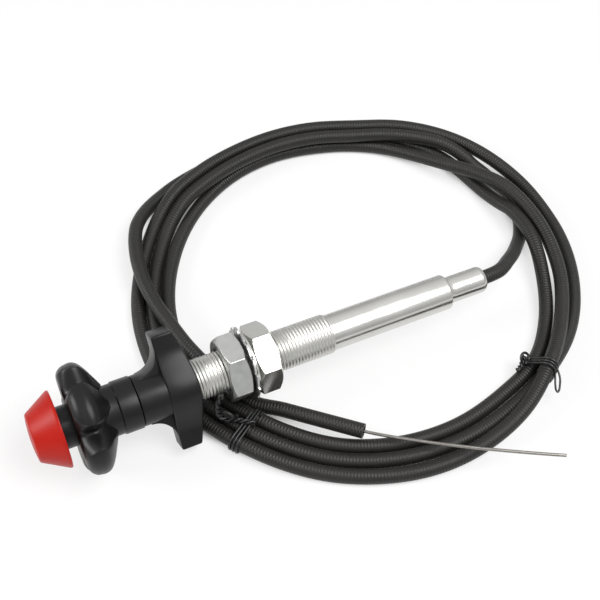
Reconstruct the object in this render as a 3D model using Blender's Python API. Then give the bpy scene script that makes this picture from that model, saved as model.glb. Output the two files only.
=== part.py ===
# Push-pull hand control with its coiled conduit: red release button, star
# knob, sliding control shaft, winged lock nut, threaded bulkhead tube with
# two hex nuts, end ferrule, conduit and solid core wire.
# The head lies along +X, knob end at -X, and the table is at z = 0.

import bpy
import bmesh
import numpy as np
from math import atan2, cos, sin, pi, radians
from mathutils import Vector

MM = 0.001

# Driving dimensions, in millimetres. Places along the head are x values on
# its axis; the origin is under the middle of the head.
GAP = 0.3                # clearance kept between neighbouring pieces
FACETS = 48              # sides of the large turned pieces

THREAD_R = 9.0           # M18 x 1.5 bulkhead thread, outside radius
TUBE_FRONT = -45.2       # front end of the bulkhead tube, inside the lock nut
THREAD_END = 26.9
TUBE_R = 8.15            # plain part of the tube
TUBE_REAR = 86.2
TUBE_BORE = 7.0

FERRULE_R = 6.15
FERRULE_REAR = 105.6
FERRULE_GRIP = 12.0      # length of conduit held in the ferrule

NUT_AF = 27.0            # across flats of the M18 nuts
FRONT_NUT_X = -23.2
FRONT_NUT_LONG = 9.5
WASHER_LONG = 1.8
WASHER_R = 16.3
WASHER_TEETH = 14
REAR_NUT_LONG = 11.3
NUT_TURN_FRONT = 64.5    # degrees from the viewer's side up to a corner
NUT_TURN_REAR = 90.0

WING_TIP = 25.75         # half of the wing's span
WING_WIDE = 11.0         # thickness of the arms
WING_WAIST = 23.2        # thickness over the hub
WING_FRONT = TUBE_FRONT - 3.8
WING_TIP_LONG = 8.8
WING_CROWN = 4.6         # how far the rear swells beyond the tips
WING_HUB_R = 11.0
WING_TURN = 128.5

KNOB_SEAM = -61.3        # rear end of the knob's hub, against the lock nut
KNOB_HUB_R = 11.4
COLLAR_R = 10.9          # short step between the star and its hub
COLLAR_REAR = -69.6
STAR_FRONT = -88.7
STAR_R = 24.2            # tip of a lobe
STAR_DEEP = 7.6          # depth of the hollows between lobes
LOBES = 5
STAR_TURN = 73.5
CAP_HALF = 9.7           # half width of a lobe's oval end, round the star
CAP_LONG = 8.0           # half length of that end, along the axis
CAP_MID = 7.2            # its middle, behind the star's front
# The star's side view over a lobe: behind the front, and below the tip.
CROWN = [(0.0, 4.0), (0.7, 2.4), (2.4, 0.8), (4.7, 0.15), (6.9, 0.0), (9.4, 1.2),
         (11.7, 4.3), (13.9, 8.5), (15.9, 12.3)]
BOSS_R = 9.0             # neck that the button slides on
BOSS_FRONT = -98.4

BUTTON_FRONT = -106.0
BUTTON_BASE = -93.5
BUTTON_FRONT_R = 10.0
BUTTON_BASE_R = 16.5
BUTTON_TRAVEL = 3.5

SHAFT_R = 4.75
SHAFT_FRONT = -83.0
SHAFT_REAR = 30.0
STROKE = 43.0            # pull of the knob
STEM_R = 1.9
STEM_REAR = -38.0        # end of the button's stem, inside the shaft
BUSH_REAR = -20.0

CONDUIT_R = 3.2
WIRE_R = 0.7
TAIL_LONG = 48.0         # straight last stretch of the conduit
WIRE_IN = 3.0            # wire left inside the conduit at rest
WIRE_OUT = 85.0          # bare wire past the cut end

# The ring that the conduit lies in: a slightly oval loop on the table.
RING_X = 62.9
RING_Y = 35.4
RING_LONG = 100.4
RING_SHORT = 94.5
RING_TURN = 48.7         # direction of the long half axis, degrees
LANE = 7.0               # step between turns lying side by side
LAYER = 7.1              # step between turns lying on each other
REST = 0.1               # conduit above the table

# How the conduit runs, turn by turn: angle in the turn, lane out from the
# ring's middle line, and layer.
TURN_1 = [(22, .05, .1), (24.5, .04, .15), (30, -.02, .6), (36, -.15, .95), (47, -.6, 1.03),
          (56, -1, 1.04), (65, -1.3, 1.02), (80, -1.13, 1), (90, -.96, 1), (105, -.67, 1),
          (119, -.23, .92), (128, .2, .72), (135, .36, .38), (143, .38, .08), (150, .38, 0),
          (176, .53, 0), (196, .45, 0), (206, .15, .1), (215, .03, .23), (240, -.15, 0),
          (270, -.15, 0), (290, .05, .1), (303, .42, .23), (320, 1, 0), (340, 1.35, 0)]
TURN_2 = [(0, 1.5, 0), (13, 1.45, .25), (35, .95, .75), (50, .32, .97), (65, -.27, 1), (80, -.1, 1),
          (90, .07, 1), (105, .37, 1), (119, .8, 1), (128, 1.2, .8), (135, 1.36, .4),
          (143, 1.38, .1), (150, 1.38, 0), (176, 1.53, 0), (196, 1.44, 0), (206, 1.14, .1),
          (215, 1.03, .23), (240, .87, 0), (270, .9, .2), (288, .8, .85), (303, .4, 1.23),
          (320, .22, .85), (340, .15, .85)]
TURN_3 = [(0, -.3, 1.3), (12, -.8, 1.5), (22, -1.35, 1.2), (35, -1.85, .75), (45, -1.7, .35),
          (55, -1.42, .1), (65, -1.28, 0), (75, -1.19, 0), (96, -.78, 0), (108, -.64, 0),
          (120, -.6, 0), (150, -.61, 0), (173, -.49, 0), (196, -.55, 0), (206, -.84, .1),
          (215, -.98, .23), (240, -1.16, 0), (270, -1.16, 0), (290, -.98, .1), (303, -.6, .23),
          (319, -.65, .1), (337, -.93, .55), (350, -1.1, 1.1)]
TURN_4 = [(-2, -1.2, 1.05), (4, -1.35, .95), (10, -1.5, .4), (17, -1.4, 0), (24, -1.1, 0),
          (30, -.86, 0), (38, -.57, 0), (47, -.4, 0), (60, -.28, 0), (75, -.16, 0), (90, .25, 0),
          (100, .6, 0), (110, 1.1, 0), (119, 1.68, 0), (128, 2.24, 0), (135, 2.46, .33),
          (142, 2.4, .75), (150, 1.9, 1), (157, 1.35, 1.05), (163, .85, 1.05), (170, .25, 1.03),
          (178, -.38, 1.03), (184, -.7, 1), (190, -1.02, .9), (195, -1.28, .7), (200, -1.56, .44),
          (204, -1.78, .3)]
LEAD = [(116.0, 1.6, 22.4), (127.0, 8.6, 17.0), (141.5, 20.5, 7.6), (151.5, 31.0, 3.1),
        (157.3, 42.5, 3.1), (160.2, 53.5, 3.1)]
TAIL_START = (-10.3, -9.8, 4.7)
TAIL_HEADING = -44.0
TAIL_CLIMB = 5.5
TIE_R = 0.6


def star_reach(deg, x):
    """Radius of the star at an angle and a place behind its front."""
    spots = [c[0] for c in CROWN]
    crown = STAR_R - float(np.interp(x, spots, [c[1] for c in CROWN]))
    pitch = 360.0 / LOBES
    off = abs((deg - STAR_TURN + pitch / 2) % pitch - pitch / 2)
    arc = STAR_R * radians(off)
    far = ((x - CAP_MID) / CAP_LONG) ** 2
    here = ((arc / CAP_HALF) ** 2 + far) ** 0.5
    if here <= 1.0:
        return crown - 0.5 * (arc / CAP_HALF) ** 2
    edge = CAP_HALF * max(1.0 - far, 0.0) ** 0.5
    middle = ((STAR_R * radians(pitch / 2) / CAP_HALF) ** 2 + far) ** 0.5
    start = max(far ** 0.5, 1.0)
    share = (here - start) / (middle - start)
    return crown - 0.5 * (edge / CAP_HALF) ** 2 - STAR_DEEP * sin(pi / 2 * min(share, 1.0))


# The head's height follows from the star resting on its lowest lobe.
AXIS_Z = max(star_reach(d, x) * -sin(radians(d)) for d in range(225, 316) for x in (4.7, 6.9))

for ob in list(bpy.data.objects):
    bpy.data.objects.remove(ob, do_unlink=True)


def principled(name, rgb, rough, metal):
    """One Principled material."""
    m = bpy.data.materials.new(name)
    m.use_nodes = True
    s = m.node_tree.nodes["Principled BSDF"]
    s.inputs["Base Color"].default_value = (*rgb, 1.0)
    s.inputs["Roughness"].default_value = rough
    s.inputs["Metallic"].default_value = metal
    m.diffuse_color = (*rgb, 1.0)
    return m


RED = (0.52, 0.03, 0.02)
BLACK = (0.02, 0.02, 0.022)
CHROME = (0.78, 0.78, 0.76)
ZINC = (0.50, 0.51, 0.50)
STEEL = (0.42, 0.42, 0.40)
BRASS = (0.60, 0.44, 0.18)
NYLON = (0.75, 0.74, 0.68)


def empty(name, x, parent=None):
    """A guide on the head's axis that pieces hang from."""
    e = bpy.data.objects.new(name, None)
    bpy.context.scene.collection.objects.link(e)
    if parent is None:
        e.location = (x * MM, 0, AXIS_Z * MM)
    else:
        e.parent = parent
        e.location = (x * MM, 0, 0)
    return e


def place(name, data, look, parent=None):
    """Link an object, with its own material, at its parent's place."""
    ob = bpy.data.objects.new(name, data)
    bpy.context.scene.collection.objects.link(ob)
    ob.parent = parent
    if look is not None:
        data.materials.append(principled(name, *look))
    return ob


def finish(bm, name):
    """Mesh of a bmesh, closed, facing out and shaded smooth."""
    bmesh.ops.remove_doubles(bm, verts=bm.verts, dist=1e-7)
    bmesh.ops.recalc_face_normals(bm, faces=bm.faces)
    me = bpy.data.meshes.new(name)
    bm.to_mesh(me)
    bm.free()
    me.shade_smooth()
    me.set_sharp_from_angle(angle=radians(35))
    return me


def turned(name, section, steps=FACETS):
    """Spin a section of (x, radius) points about the axis."""
    bm = bmesh.new()
    pts = [bm.verts.new((x * MM, 0, r * MM)) for x, r in section]
    edges = []
    for k, p in enumerate(pts):
        q = pts[(k + 1) % len(pts)]
        if section[k][1] > 0 or section[(k + 1) % len(pts)][1] > 0:
            edges.append(bm.edges.new((p, q)))
    bmesh.ops.spin(bm, geom=pts + edges, cent=(0, 0, 0), axis=(1, 0, 0),
                   angle=2 * pi, steps=steps, use_merge=True)
    return finish(bm, name)


def across(r, deg, x=0.0):
    """Point at radius r, deg measured from the viewer's side upwards."""
    a = radians(deg)
    return Vector((x * MM, -r * cos(a) * MM, r * sin(a) * MM))


def prism(name, ring, x0, x1):
    """Extrude a closed outline of (radius, degrees) along the axis."""
    bm = bmesh.new()
    face = bm.faces.new([bm.verts.new(across(r, d, x0)) for r, d in ring])
    out = bmesh.ops.extrude_face_region(bm, geom=[face])
    moved = [v for v in out["geom"] if isinstance(v, bmesh.types.BMVert)]
    bmesh.ops.translate(bm, verts=moved, vec=((x1 - x0) * MM, 0, 0))
    return finish(bm, name)


def cut(ob, tool_mesh, how, parent=None):
    """Boolean with a hidden tool."""
    tool = bpy.data.objects.new(ob.name + "_tool", tool_mesh)
    bpy.context.scene.collection.objects.link(tool)
    tool.parent = parent if parent is not None else ob.parent
    tool.hide_render = True
    tool.display_type = "WIRE"
    mod = ob.modifiers.new(how.lower(), "BOOLEAN")
    mod.operation = how
    mod.solver = "EXACT"
    mod.object = tool
    return mod


def tube(name, points, radius, look, resolution, closed=False, parent=None):
    """A round tube along points, in metres, with filled ends."""
    cu = bpy.data.curves.new(name, "CURVE")
    cu.dimensions = "3D"
    cu.bevel_depth = radius * MM
    cu.bevel_resolution = resolution
    cu.use_fill_caps = not closed
    sp = cu.splines.new("POLY")
    sp.points.add(len(points) - 1)
    for p, c in zip(sp.points, points):
        p.co = (c[0], c[1], c[2], 1.0)
    sp.use_cyclic_u = closed
    return place(name, cu, look, parent)


def bend_through(knots, values, at):
    """Smooth curve through values at uneven knots."""
    knots = np.asarray(knots, float)
    values = np.asarray(values, float)
    step = np.diff(knots)
    slope = np.diff(values, axis=0) / (step if values.ndim == 1 else step[:, None])
    w = step if values.ndim == 1 else step[:, None]
    rate = np.empty_like(values)
    rate[0] = slope[0]
    rate[-1] = slope[-1]
    rate[1:-1] = (slope[:-1] * w[1:] + slope[1:] * w[:-1]) / (w[1:] + w[:-1])
    k = np.clip(np.searchsorted(knots, at, side="right") - 1, 0, len(step) - 1)
    u = (at - knots[k]) / step[k]
    h = step[k]
    if values.ndim > 1:
        u = u[:, None]
        h = h[:, None]
    return ((2 * u**3 - 3 * u**2 + 1) * values[k] + (u**3 - 2 * u**2 + u) * h * rate[k]
            + (3 * u**2 - 2 * u**3) * values[k + 1] + (u**3 - u**2) * h * rate[k + 1])


# The guides: the head's axis, and one for each thing that moves on it.
HEAD = empty("head_axis", 0)
SLIDE = empty("knob_slide_axis", 0, HEAD)
TURN = empty("knob_turn_axis", 0, SLIDE)
PRESS = empty("button_axis", 0, TURN)
LOCK = empty("lock_turn_axis", 0, HEAD)
NUTS = empty("rear_nut_axis", 0, HEAD)

# Bulkhead tube: one turned chromed steel sleeve. The M18 thread's crest is
# its large diameter, the rest is turned down, and the bore is plain.
place("bulkhead_tube", turned("bulkhead_tube", [
    (TUBE_FRONT, THREAD_R - 1.0), (TUBE_FRONT + 1.0, THREAD_R),
    (THREAD_END - 0.8, THREAD_R), (THREAD_END, TUBE_R),
    (TUBE_REAR - 1.0, TUBE_R), (TUBE_REAR - 0.3, TUBE_R - 0.3), (TUBE_REAR, TUBE_R - 1.0),
    (TUBE_REAR, TUBE_BORE), (TUBE_FRONT, TUBE_BORE)]), (CHROME, 0.18, 1.0), HEAD)

# End ferrule: swaged sleeve that plugs the tube and grips the conduit. Its
# spigot sits in the tube's bore and the core wire runs through it.
SPIGOT = TUBE_BORE - GAP
GRIP_X = FERRULE_REAR - FERRULE_GRIP
WIRE_BORE = WIRE_R + 0.5
place("end_ferrule", turned("end_ferrule", [
    (TUBE_REAR - 10, SPIGOT), (TUBE_REAR + GAP, SPIGOT), (TUBE_REAR + GAP, FERRULE_R),
    (FERRULE_REAR - 0.6, FERRULE_R), (FERRULE_REAR, FERRULE_R - 0.6),
    (FERRULE_REAR, CONDUIT_R + GAP), (GRIP_X - GAP, CONDUIT_R + GAP),
    (GRIP_X - GAP, WIRE_BORE), (TUBE_REAR - 10, WIRE_BORE)]), (CHROME, 0.2, 1.0), HEAD)


def hex_nut(name, x0, x1, turn, look, parent, collar=0.0):
    """Hex nut with chamfered corners and, if asked, a washer face in front."""
    corner = NUT_AF / 2 / cos(pi / 6)
    slope = (corner - NUT_AF / 2 + 0.6) * 0.6
    flat = NUT_AF / 2 - 0.6
    bore = THREAD_R + GAP
    section = [(x0, flat)]
    if collar > 0:
        section.append((x0 + collar, flat))
    section += [(x0 + collar + slope, corner + 0.4), (x1 - slope, corner + 0.4), (x1, flat),
                (x1, bore + 0.7), (x1 - 0.7, bore), (x0 + 0.7, bore), (x0, bore + 0.7)]
    ob = place(name, turned(name, section), look, parent)
    ring = [(corner, turn + 60.0 * k) for k in range(6)]
    cut(ob, prism(name + "_hex", ring, x0 - 1, x1 + 1), "INTERSECT")
    return ob


# Two M18 nuts with an external-tooth lock washer between them: the panel is
# clamped between the washer and the front nut.
FRONT_NUT_END = FRONT_NUT_X + FRONT_NUT_LONG
WASHER_X = FRONT_NUT_END + GAP
REAR_NUT_X = WASHER_X + WASHER_LONG + GAP
REAR_NUT_END = REAR_NUT_X + REAR_NUT_LONG
hex_nut("front_hex_nut", FRONT_NUT_X, FRONT_NUT_END, NUT_TURN_FRONT,
        (ZINC, 0.35, 1.0), HEAD)
hex_nut("rear_hex_nut", REAR_NUT_X, REAR_NUT_END, NUT_TURN_REAR,
        (CHROME, 0.16, 1.0), NUTS, collar=0.9)

# Lock washer: a ring with teeth round its rim, each tooth wider at its root.
teeth = []
for k in range(WASHER_TEETH):
    pitch = 360.0 / WASHER_TEETH
    for share, r in ((-0.34, WASHER_R - 3.0), (-0.2, WASHER_R), (0.2, WASHER_R),
                     (0.34, WASHER_R - 3.0)):
        teeth.append((r, 90.0 + pitch * (k + share)))
washer = place("lock_washer", prism("lock_washer", teeth, WASHER_X, WASHER_X + WASHER_LONG),
               (ZINC, 0.4, 1.0), NUTS)
hole = THREAD_R + 2 * GAP
cut(washer, turned("washer_hole", [(WASHER_X - 1, 0), (WASHER_X - 1, hole),
                                   (WASHER_X + WASHER_LONG + 1, hole),
                                   (WASHER_X + WASHER_LONG + 1, 0)]), "DIFFERENCE")

# Winged lock nut: moulded hub with a two-armed wing across its rear and a
# flared web up to each arm. It screws on the tube's front end and squeezes
# the collet round the shaft.
WING_MID = WING_FRONT + WING_TIP_LONG + WING_CROWN
HUB_FRONT = KNOB_SEAM + GAP
lock = place("wing_lock_nut", turned("wing_lock_nut", [
    (HUB_FRONT, 0), (HUB_FRONT, WING_HUB_R - 0.5), (HUB_FRONT + 0.5, WING_HUB_R),
    (WING_FRONT + 2.0, WING_HUB_R), (WING_FRONT + 2.0, 0)]), (BLACK, 0.42, 0.0), LOCK)
along = Vector((0, -cos(radians(WING_TURN)), sin(radians(WING_TURN))))
beside = Vector((0, sin(radians(WING_TURN)), cos(radians(WING_TURN))))


def wing_point(u, v, x):
    """A place on the wing: out along an arm, across it, and on the axis."""
    return (Vector((x, 0, 0)) + along * u + beside * v) * MM


bm = bmesh.new()
stations = []
for k in range(-9, 10):
    u = WING_TIP * k / 9
    swell = 0.5 + 0.5 * cos(pi * min(abs(u) / (WING_TIP * 0.74), 1.0))
    wide = (WING_WIDE + (WING_WAIST - WING_WIDE) * swell) / 2
    rear = WING_FRONT + WING_TIP_LONG + WING_CROWN * (1 - (k / 9) ** 2)
    stations.append([bm.verts.new(wing_point(u, v, x)) for v, x in (
        (-wide, WING_FRONT), (wide, WING_FRONT), (wide, rear), (-wide, rear))])
for a, b in zip(stations, stations[1:]):
    for k in range(4):
        n = (k + 1) % 4
        bm.faces.new((a[k], a[n], b[n], b[k]))
bm.faces.new(stations[0])
bm.faces.new(stations[-1])
bmesh.ops.recalc_face_normals(bm, faces=bm.faces)
rims = [e for e in bm.edges if e.calc_face_angle() > radians(50)]
bmesh.ops.bevel(bm, geom=rims, offset=0.8 * MM, segments=1, affect="EDGES")
cut(lock, finish(bm, "wing"), "UNION")
FLARE = 9.5
web = []
for side in (1, -1):
    bend = []
    for k in range(0, 7):
        a = pi / 2 * k / 6
        bend.append((side * (WING_HUB_R - 0.6 + FLARE * (1 - sin(a))),
                     WING_FRONT - FLARE * (1 - cos(a))))
    bend.insert(0, (side * (WING_HUB_R - 0.6 + FLARE), WING_FRONT + 1.5))
    web += bend if side == 1 else bend[::-1]
bm = bmesh.new()
half = WING_WIDE / 2 - 0.4
face = bm.faces.new([bm.verts.new(wing_point(u, -half, x)) for u, x in web])
out = bmesh.ops.extrude_face_region(bm, geom=[face])
moved = [v for v in out["geom"] if isinstance(v, bmesh.types.BMVert)]
bmesh.ops.translate(bm, verts=moved, vec=beside * half * 2 * MM)
cut(lock, finish(bm, "wing_web"), "UNION")
SEAT = TUBE_FRONT - GAP
cut(lock, turned("lock_bore", [
    (HUB_FRONT - 1, 0), (HUB_FRONT - 1, SHAFT_R + 2 * GAP), (SEAT - 4.5, SHAFT_R + 2 * GAP),
    (SEAT - 4.5, TUBE_BORE - 1.0), (SEAT, TUBE_BORE + GAP), (SEAT, THREAD_R + GAP),
    (WING_MID + 1, THREAD_R + GAP), (WING_MID + 1, 0)]), "DIFFERENCE")

# Friction collet: split tapered ring that the lock nut closes on the shaft.
SLIP = SHAFT_R + GAP
collet = place("friction_collet", turned("friction_collet", [
    (SEAT - 4.2, TUBE_BORE - 1.6), (SEAT - 0.3, TUBE_BORE - GAP), (SEAT + 5.0, TUBE_BORE - GAP),
    (SEAT + 5.0, SLIP), (SEAT - 4.2, SLIP)]), (BRASS, 0.3, 1.0), HEAD)
bm = bmesh.new()
bmesh.ops.create_cube(bm, size=1.0)
bmesh.ops.scale(bm, verts=bm.verts, vec=(20 * MM, 1.0 * MM, 10 * MM))
bmesh.ops.translate(bm, verts=bm.verts, vec=(SEAT * MM, 0, 8 * MM))
cut(collet, finish(bm, "collet_slit"), "DIFFERENCE")

# Shaft bush: plain nylon guide pressed in the tube behind the collet.
BUSH_X = SEAT + 5.0 + GAP
place("shaft_bush", turned("shaft_bush", [
    (BUSH_X, TUBE_BORE - GAP), (BUSH_REAR, TUBE_BORE - GAP), (BUSH_REAR, SLIP),
    (BUSH_X, SLIP)]), (NYLON, 0.5, 0.0), HEAD)

# Control shaft: hollow in front for the button's stem. Its rear end holds
# the swivel head of the wire coupling behind a rolled lip.
STOP_X = BUSH_REAR + STROKE + 0.5
STEM_BORE = STEM_R + 0.4
STEM_HOLE = STEM_REAR + BUTTON_TRAVEL + 0.5
SWIVEL_R = 2.6
NECK_R = 1.2
POCKET_X = SHAFT_REAR - 8.3
place("control_shaft", turned("control_shaft", [
    (SHAFT_FRONT, SHAFT_R - 0.5), (SHAFT_FRONT + 0.5, SHAFT_R),
    (STOP_X - GAP, SHAFT_R), (STOP_X - GAP, SHAFT_R - 0.7),
    (STOP_X + 1.4 + GAP, SHAFT_R - 0.7), (STOP_X + 1.4 + GAP, SHAFT_R),
    (SHAFT_REAR - 0.5, SHAFT_R), (SHAFT_REAR, SHAFT_R - 0.5),
    (SHAFT_REAR, NECK_R + GAP), (SHAFT_REAR - 2.5, NECK_R + GAP),
    (SHAFT_REAR - 2.5, SWIVEL_R + GAP), (POCKET_X, SWIVEL_R + GAP), (POCKET_X, 0),
    (STEM_HOLE, 0), (STEM_HOLE, STEM_BORE), (SHAFT_FRONT, STEM_BORE)], 32),
    (STEEL, 0.25, 1.0), TURN)

# Stop ring: sits in the shaft's groove and meets the bush at full pull.
place("stop_ring", turned("stop_ring", [
    (STOP_X, TUBE_BORE - 1.3 * GAP), (STOP_X + 1.4, TUBE_BORE - 1.3 * GAP),
    (STOP_X + 1.4, SHAFT_R - 0.7 + GAP), (STOP_X, SHAFT_R - 0.7 + GAP)], 32),
    (STEEL, 0.35, 1.0), TURN)

# Star knob: moulded handle with five oval-ended lobes and hollows between
# them, a neck for the button in front and a stepped hub behind.
bm = bmesh.new()
loops = []
for step in (0.0, 0.7, 1.5, 2.4, 3.5, 4.7, 5.8, 6.9, 8.2, 9.4, 10.5, 11.7, 12.8, 13.9, 15.0, 15.9):
    loop = []
    for k in range(80):
        deg = STAR_TURN + 360.0 * k / 80
        r = max(star_reach(deg, step), COLLAR_R - 0.6)
        loop.append(bm.verts.new(across(r, deg, STAR_FRONT + step)))
    loops.append(loop)
for a, b in zip(loops, loops[1:]):
    for k in range(len(a)):
        n = (k + 1) % len(a)
        bm.faces.new((a[k], a[n], b[n], b[k]))
bm.faces.new(loops[0])
bm.faces.new(loops[-1])
knob = place("star_knob", finish(bm, "star_knob"), (BLACK, 0.38, 0.0), TURN)
cut(knob, turned("knob_hub", [
    (BOSS_FRONT, 0), (BOSS_FRONT, BOSS_R - 0.6), (BOSS_FRONT + 0.6, BOSS_R),
    (STAR_FRONT + 1.5, BOSS_R), (STAR_FRONT + 1.5, COLLAR_R), (COLLAR_REAR, COLLAR_R),
    (COLLAR_REAR + 0.3, KNOB_HUB_R - 0.2), (COLLAR_REAR + 0.6, KNOB_HUB_R),
    (KNOB_SEAM - 0.4, KNOB_HUB_R), (KNOB_SEAM, KNOB_HUB_R - 0.4), (KNOB_SEAM, 0)]), "UNION")
INSERT_R = SHAFT_R + GAP + 1.8
WEB_X = SHAFT_FRONT - GAP
SPRING_SEAT = BOSS_FRONT + 9.6
SPRING_BORE = 6.2
cut(knob, turned("knob_bore", [
    (BOSS_FRONT - 1, 0), (BOSS_FRONT - 1, SPRING_BORE), (SPRING_SEAT, SPRING_BORE),
    (SPRING_SEAT, STEM_BORE), (WEB_X, STEM_BORE), (WEB_X, INSERT_R + GAP),
    (KNOB_SEAM + 1, INSERT_R + GAP), (KNOB_SEAM + 1, 0)]), "DIFFERENCE")

# Knob insert: brass bush moulded in the knob, pinned on the shaft.
place("knob_insert", turned("knob_insert", [
    (WEB_X + GAP, INSERT_R), (KNOB_SEAM - GAP, INSERT_R), (KNOB_SEAM - GAP, SLIP),
    (WEB_X + GAP, SLIP)], 32), (BRASS, 0.3, 1.0), TURN)

# Release button: red moulded cup in the shape of a cut-off cone, hollow
# under its rim, that slides on the knob's neck.
CUP = BOSS_R + 0.4
CUP_END = BOSS_FRONT - BUTTON_TRAVEL - 0.5
place("release_button", turned("release_button", [
    (BUTTON_FRONT, 0), (BUTTON_FRONT + 0.25, BUTTON_FRONT_R * 0.6),
    (BUTTON_FRONT + 0.9, BUTTON_FRONT_R - 0.5), (BUTTON_FRONT + 1.6, BUTTON_FRONT_R + 0.3),
    (BUTTON_BASE - 1.2, BUTTON_BASE_R - 0.1), (BUTTON_BASE - 0.7, BUTTON_BASE_R),
    (BUTTON_BASE, BUTTON_BASE_R - 0.2), (BUTTON_BASE, BUTTON_BASE_R - 2.0),
    (BUTTON_BASE - 3.0, BUTTON_BASE_R - 3.6), (BUTTON_BASE - 3.0, CUP + 1.6),
    (BUTTON_BASE, CUP + 1.6), (BUTTON_BASE, CUP), (CUP_END, CUP),
    (CUP_END, STEM_R + GAP), (CUP_END - 1.6, STEM_R + GAP), (CUP_END - 1.6, 0)]),
    (RED, 0.35, 0.0), PRESS)

# Button stem: steel push rod from the button into the shaft.
place("button_stem", turned("button_stem", [
    (CUP_END - 1.6 + GAP, 0), (CUP_END - 1.6 + GAP, STEM_R), (STEM_REAR - 0.6, STEM_R),
    (STEM_REAR, STEM_R - 0.6), (STEM_REAR, 0)], 24), (STEEL, 0.3, 1.0), PRESS)

# Button spring: open coil of wire round the stem, between neck and button.
SPRING_WIRE = 0.45
SPRING_R = 4.3
SPRING_TURNS = 6
spring_a = SPRING_SEAT - SPRING_WIRE - GAP
spring_b = CUP_END + SPRING_WIRE + GAP
coil = []
for k in range(10 * SPRING_TURNS + 1):
    s = k / (10 * SPRING_TURNS)
    a = 2 * pi * SPRING_TURNS * s
    coil.append(((spring_a + (spring_b - spring_a) * s) * MM, SPRING_R * cos(a) * MM,
                 SPRING_R * sin(a) * MM))
pitch = abs(spring_b - spring_a) / SPRING_TURNS
print("button spring, least gap between turns, mm:", round(pitch - 2 * SPRING_WIRE, 3))
tube("button_spring", coil, SPRING_WIRE, (STEEL, 0.3, 1.0), 1, parent=TURN)

# Wire coupling: brass swivel held in the shaft's end; the core wire is
# crimped in its sleeve.
SLEEVE_X = SHAFT_REAR + 1.2
SLEEVE_END = SLEEVE_X + 13.0
place("wire_coupling", turned("wire_coupling", [
    (POCKET_X + GAP, 0), (POCKET_X + GAP, SWIVEL_R), (SHAFT_REAR - 2.5 - GAP, SWIVEL_R),
    (SHAFT_REAR - 2.5 - GAP, NECK_R), (SLEEVE_X, NECK_R), (SLEEVE_X, SWIVEL_R),
    (SLEEVE_END, SWIVEL_R), (SLEEVE_END, WIRE_R + GAP), (SLEEVE_X + 2.0, WIRE_R + GAP),
    (SLEEVE_X + 2.0, 0)], 24), (BRASS, 0.3, 1.0), SLIDE)

# Core wire in the head: runs from the coupling to the conduit's mouth.
place("core_wire_head", turned("core_wire_head", [
    (SLEEVE_X + 2.0 + GAP, 0), (SLEEVE_X + 2.0 + GAP, WIRE_R), (GRIP_X - 2 * GAP, WIRE_R),
    (GRIP_X - 2 * GAP, 0)], 12), (STEEL, 0.3, 1.0), SLIDE)


# The conduit. Its route is read from the turns above: radius from the oval
# ring and the lane, height from the layer.
def ring_radius(a):
    d = a - radians(RING_TURN)
    return RING_LONG * RING_SHORT / np.sqrt((RING_SHORT * np.cos(d)) ** 2
                                            + (RING_LONG * np.sin(d)) ** 2)


route = []
for n, turn in enumerate((TURN_1, TURN_2, TURN_3, TURN_4)):
    for angle, lane, layer in turn:
        route.append((360.0 * n + angle, lane, layer))
route = np.array(route)


def on_route(deg):
    """Points of the conduit's middle line, in millimetres."""
    lane = bend_through(route[:, 0], route[:, 1], deg)
    layer = np.maximum(bend_through(route[:, 0], route[:, 2], deg), 0.0)
    a = np.radians(deg)
    r = ring_radius(a) + lane * LANE
    return np.stack([RING_X + r * np.cos(a), RING_Y + r * np.sin(a),
                     CONDUIT_R + REST + layer * LAYER], axis=1)


def straighten(p, direction, lead_in):
    """Two points that end a tube straight for one diameter."""
    d = np.asarray(direction, float)
    d = d / np.linalg.norm(d)
    return [np.asarray(p, float) - d * lead_in, np.asarray(p, float)]


tail_dir = np.array([cos(radians(TAIL_HEADING)) * cos(radians(TAIL_CLIMB)),
                     sin(radians(TAIL_HEADING)) * cos(radians(TAIL_CLIMB)),
                     sin(radians(TAIL_CLIMB))])
tail_a = np.array(TAIL_START)
first, last = route[0, 0], route[-1, 0]
count = int(round((last - first) / 15.0))
line = on_route(np.linspace(first, last, count + 1))
start_dir = on_route(np.array([first, first + 0.5]))
start_dir = start_dir[1] - start_dir[0]
start_dir = start_dir / np.linalg.norm(start_dir)
coil_line = [line[0] - start_dir * 2 * CONDUIT_R] + list(line)
coil_line += straighten(tail_a, tail_dir, 2 * CONDUIT_R)
coil_start = coil_line[0]
tube("conduit_coil", [c * MM for c in coil_line], CONDUIT_R, (BLACK, 0.5, 0.0), 1)

# Least gap of the coil to itself, measured between points of turns that lie
# more than a ninth of a turn apart.
fine_deg = np.arange(first, last, 1.5)
fine = on_route(fine_deg)
apart = np.linalg.norm(fine[:, None, :] - fine[None, :, :], axis=2)
apart[np.abs(fine_deg[:, None] - fine_deg[None, :]) < 40.0] = 1e9
print("conduit coil, least gap to itself, mm:", round(float(apart.min()) - 2 * CONDUIT_R, 3))
coil_long = float(np.linalg.norm(np.diff(fine, axis=0), axis=1).sum())

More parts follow.
